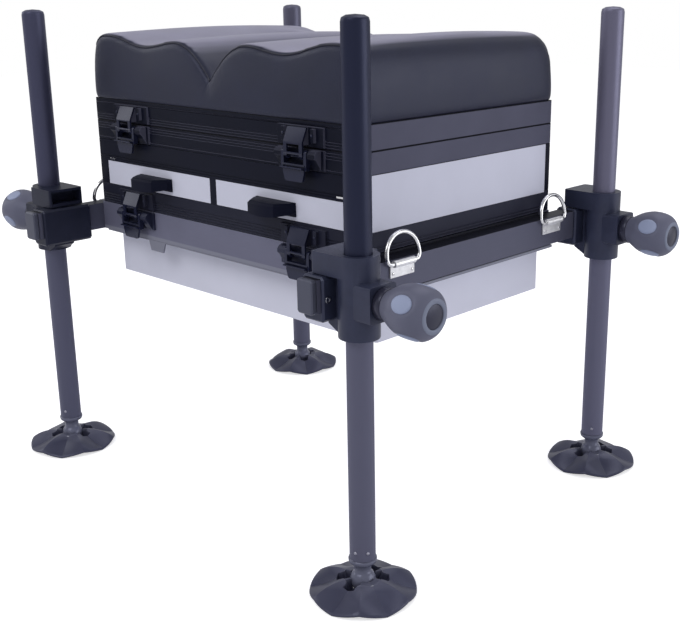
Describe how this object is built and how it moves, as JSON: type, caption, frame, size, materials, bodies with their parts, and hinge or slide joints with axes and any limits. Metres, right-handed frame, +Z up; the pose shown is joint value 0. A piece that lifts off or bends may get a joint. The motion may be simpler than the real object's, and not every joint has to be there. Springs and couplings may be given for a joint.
{
  "type": "fishing seat box",
  "caption": "Padded fishing seat on a drawer cassette and open base box, hung in a bar frame whose clamped legs slide up and down on tilting round feet.",
  "frame": {"origin": "on the ground under the centre of the box", "axes": "+Z up, +X to the sitter's left as seen from the front, -Y out of the front face with the drawers"},
  "size_m": [0.6876, 0.4948, 0.53],
  "materials": {
    "bar_black": "satin black anodised extrusion",
    "frame_black": "satin black anodised ribbed extrusion",
    "silver_sheet": "fine satin silver sheet",
    "black_plastic": "black moulded plastic",
    "cast_black": "black powder-coated die casting",
    "foot_plastic": "dark grey moulded plastic, slight sheen",
    "knob_grip": "dark grey soft-touch grip",
    "tube_black": "satin black anodised tube",
    "vinyl": "black grained vinyl",
    "board": "painted plywood",
    "hinge_steel": "plated steel",
    "latch_black": "black coated latch parts",
    "bright_nickel": "bright nickel plate"
  },
  "bodies": {
    "frame": {"front_bar": "bar_black", "rear_bar": "bar_black", "left_bar": "bar_black", "right_bar": "bar_black", "base_box": "silver_sheet", "bar_cap_l": "black_plastic", "bar_cap_r": "black_plastic", "cassette_hinge_lower": "hinge_steel", "leg_block_fl": "cast_black", "leg_block_fr": "cast_black", "leg_block_bl": "cast_black", "leg_block_br": "cast_black", "ring_bracket_fl": "bright_nickel", "ring_bracket_fr": "bright_nickel", "ring_bracket_bl": "bright_nickel", "ring_bracket_br": "bright_nickel"},
    "cassette": {"lower_frame": "frame_black", "cassette_body": "black_plastic", "tray_shelf": "black_plastic", "tray_frame": "frame_black", "side_panel_l": "silver_sheet", "side_panel_r": "silver_sheet", "cassette_hinge_upper": "hinge_steel", "lid_hinge_lower": "hinge_steel"},
    "drawer_left": {"drawer_l": "silver_sheet", "drawer_handle_l": "black_plastic"},
    "drawer_right": {"drawer_r": "silver_sheet", "drawer_handle_r": "black_plastic"},
    "lid": {"lid_frame": "frame_black", "seat_board": "board", "seat_cushion": "vinyl", "lid_hinge_upper": "hinge_steel"},
    "lever_upper_left": {"latch_lever_upper_l": "latch_black"},
    "claw_upper_left": {"latch_claw_upper_l": "latch_black"},
    "lever_upper_right": {"latch_lever_upper_r": "latch_black"},
    "claw_upper_right": {"latch_claw_upper_r": "latch_black"},
    "lever_lower_left": {"latch_lever_lower_l": "latch_black"},
    "claw_lower_left": {"latch_claw_lower_l": "latch_black"},
    "lever_lower_right": {"latch_lever_lower_r": "latch_black"},
    "claw_lower_right": {"latch_claw_lower_r": "latch_black"},
    "leg_front_left": {"leg_fl": "tube_black"},
    "stud_front_left": {"foot_stud_fl": "cast_black"},
    "foot_front_left": {"foot_fl": "foot_plastic"},
    "knob_front_left": {"knob_fl": "knob_grip"},
    "ring_front_left": {"ring_fl": "bright_nickel"},
    "leg_front_right": {"leg_fr": "tube_black"},
    "stud_front_right": {"foot_stud_fr": "cast_black"},
    "foot_front_right": {"foot_fr": "foot_plastic"},
    "knob_front_right": {"knob_fr": "knob_grip"},
    "ring_front_right": {"ring_fr": "bright_nickel"},
    "leg_back_left": {"leg_bl": "tube_black"},
    "stud_back_left": {"foot_stud_bl": "cast_black"},
    "foot_back_left": {"foot_bl": "foot_plastic"},
    "knob_back_left": {"knob_bl": "knob_grip"},
    "ring_back_left": {"ring_bl": "bright_nickel"},
    "leg_back_right": {"leg_br": "tube_black"},
    "stud_back_right": {"foot_stud_br": "cast_black"},
    "foot_back_right": {"foot_br": "foot_plastic"},
    "knob_back_right": {"knob_br": "knob_grip"},
    "ring_back_right": {"ring_br": "bright_nickel"}
  },
  "joints": [
    {"name": "cassette_tip", "type": "hinge", "parent": "frame", "child": "cassette", "pos_m": [0, 0.1559, 0.30965], "axis": [-1, 0, 0], "range_deg": [0, 75]},
    {"name": "lid_lift", "type": "hinge", "parent": "cassette", "child": "lid", "pos_m": [0, 0.1559, 0.40645], "axis": [-1, 0, 0], "range_deg": [0, 95]},
    {"name": "drawer_left_slide", "type": "slide", "parent": "cassette", "child": "drawer_left", "axis": [0, -1, 0], "range_m": [0, 0.2]},
    {"name": "drawer_right_slide", "type": "slide", "parent": "cassette", "child": "drawer_right", "axis": [0, -1, 0], "range_m": [0, 0.2]},
    {"name": "lever_upper_left_swing", "type": "hinge", "parent": "cassette", "child": "lever_upper_left", "pos_m": [-0.14, -0.1605, 0.40195], "axis": [1, 0, 0], "range_deg": [-95, 0]},
    {"name": "claw_upper_left_swing", "type": "hinge", "parent": "lever_upper_left", "child": "claw_upper_left", "pos_m": [-0.14, -0.15989, 0.3985], "axis": [1, 0, 0], "range_deg": [0, 110]},
    {"name": "lever_upper_right_swing", "type": "hinge", "parent": "cassette", "child": "lever_upper_right", "pos_m": [0.14, -0.1605, 0.40195], "axis": [1, 0, 0], "range_deg": [-95, 0]},
    {"name": "claw_upper_right_swing", "type": "hinge", "parent": "lever_upper_right", "child": "claw_upper_right", "pos_m": [0.14, -0.15989, 0.3985], "axis": [1, 0, 0], "range_deg": [0, 110]},
    {"name": "lever_lower_left_swing", "type": "hinge", "parent": "frame", "child": "lever_lower_left", "pos_m": [-0.14, -0.1605, 0.30515], "axis": [1, 0, 0], "range_deg": [-95, 0]},
    {"name": "claw_lower_left_swing", "type": "hinge", "parent": "lever_lower_left", "child": "claw_lower_left", "pos_m": [-0.14, -0.15989, 0.3017], "axis": [1, 0, 0], "range_deg": [0, 110]},
    {"name": "lever_lower_right_swing", "type": "hinge", "parent": "frame", "child": "lever_lower_right", "pos_m": [0.14, -0.1605, 0.30515], "axis": [1, 0, 0], "range_deg": [-95, 0]},
    {"name": "claw_lower_right_swing", "type": "hinge", "parent": "lever_lower_right", "child": "claw_lower_right", "pos_m": [0.14, -0.15989, 0.3017], "axis": [1, 0, 0], "range_deg": [0, 110]},
    {"name": "leg_front_left_slide", "type": "slide", "parent": "frame", "child": "leg_front_left", "axis": [0, 0, 1], "range_m": [-0.18, 0.16]},
    {"name": "stud_front_left_spin", "type": "hinge", "parent": "leg_front_left", "child": "stud_front_left", "pos_m": [-0.2567, -0.1965, 0.037], "axis": [0, 0, 1], "continuous": true},
    {"name": "foot_front_left_tilt", "type": "hinge", "parent": "stud_front_left", "child": "foot_front_left", "pos_m": [-0.2567, -0.1965, 0.0137], "axis": [0.682, -0.7314, 0], "range_deg": [-22, 22]},
    {"name": "knob_front_left_turn", "type": "hinge", "parent": "frame", "child": "knob_front_left", "pos_m": [-0.2567, -0.1965, 0.29045], "axis": [-1, 0, 0], "range_deg": [0, 360]},
    {"name": "ring_front_left_swing", "type": "hinge", "parent": "frame", "child": "ring_front_left", "pos_m": [-0.237, -0.128, 0.3037], "axis": [0, -1, 0], "range_deg": [0, 100]},
    {"name": "leg_front_right_slide", "type": "slide", "parent": "frame", "child": "leg_front_right", "axis": [0, 0, 1], "range_m": [-0.18, 0.16]},
    {"name": "stud_front_right_spin", "type": "hinge", "parent": "leg_front_right", "child": "stud_front_right", "pos_m": [0.2567, -0.1965, 0.037], "axis": [0, 0, 1], "continuous": true},
    {"name": "foot_front_right_tilt", "type": "hinge", "parent": "stud_front_right", "child": "foot_front_right", "pos_m": [0.2567, -0.1965, 0.0137], "axis": [0.9397, -0.342, 0], "range_deg": [-22, 22]},
    {"name": "knob_front_right_turn", "type": "hinge", "parent": "frame", "child": "knob_front_right", "pos_m": [0.2567, -0.1965, 0.29045], "axis": [1, 0, 0], "range_deg": [0, 360]},
    {"name": "ring_front_right_swing", "type": "hinge", "parent": "frame", "child": "ring_front_right", "pos_m": [0.237, -0.116, 0.3037], "axis": [0, 1, 0], "range_deg": [0, 100]},
    {"name": "leg_back_left_slide", "type": "slide", "parent": "frame", "child": "leg_back_left", "axis": [0, 0, 1], "range_m": [-0.18, 0.16]},
    {"name": "stud_back_left_spin", "type": "hinge", "parent": "leg_back_left", "child": "stud_back_left", "pos_m": [-0.2567, 0.1965, 0.037], "axis": [0, 0, 1], "continuous": true},
    {"name": "foot_back_left_tilt", "type": "hinge", "parent": "stud_back_left", "child": "foot_back_left", "pos_m": [-0.2567, 0.1965, 0.0137], "axis": [0.9063, 0.4226, 0], "range_deg": [-22, 22]},
    {"name": "knob_back_left_turn", "type": "hinge", "parent": "frame", "child": "knob_back_left", "pos_m": [-0.2567, 0.1965, 0.29045], "axis": [-1, 0, 0], "range_deg": [0, 360]},
    {"name": "ring_back_left_swing", "type": "hinge", "parent": "frame", "child": "ring_back_left", "pos_m": [-0.237, 0.116, 0.3037], "axis": [0, -1, 0], "range_deg": [0, 100]},
    {"name": "leg_back_right_slide", "type": "slide", "parent": "frame", "child": "leg_back_right", "axis": [0, 0, 1], "range_m": [-0.18, 0.16]},
    {"name": "stud_back_right_spin", "type": "hinge", "parent": "leg_back_right", "child": "stud_back_right", "pos_m": [0.2567, 0.1965, 0.037], "axis": [0, 0, 1], "continuous": true},
    {"name": "foot_back_right_tilt", "type": "hinge", "parent": "stud_back_right", "child": "foot_back_right", "pos_m": [0.2567, 0.1965, 0.0137], "axis": [0.8192, -0.5736, 0], "range_deg": [-22, 22]},
    {"name": "knob_back_right_turn", "type": "hinge", "parent": "frame", "child": "knob_back_right", "pos_m": [0.2567, 0.1965, 0.29045], "axis": [1, 0, 0], "range_deg": [0, 360]},
    {"name": "ring_back_right_swing", "type": "hinge", "parent": "frame", "child": "ring_back_right", "pos_m": [0.237, 0.128, 0.3037], "axis": [0, 1, 0], "range_deg": [0, 100]}
  ],
  "couplings": [
    {"joint": "claw_upper_left_swing", "follows": "lever_upper_left_swing", "ratio": -1.15},
    {"joint": "claw_upper_right_swing", "follows": "lever_upper_right_swing", "ratio": -1.15},
    {"joint": "claw_lower_left_swing", "follows": "lever_lower_left_swing", "ratio": -1.15},
    {"joint": "claw_lower_right_swing", "follows": "lever_lower_right_swing", "ratio": -1.15}
  ]
}
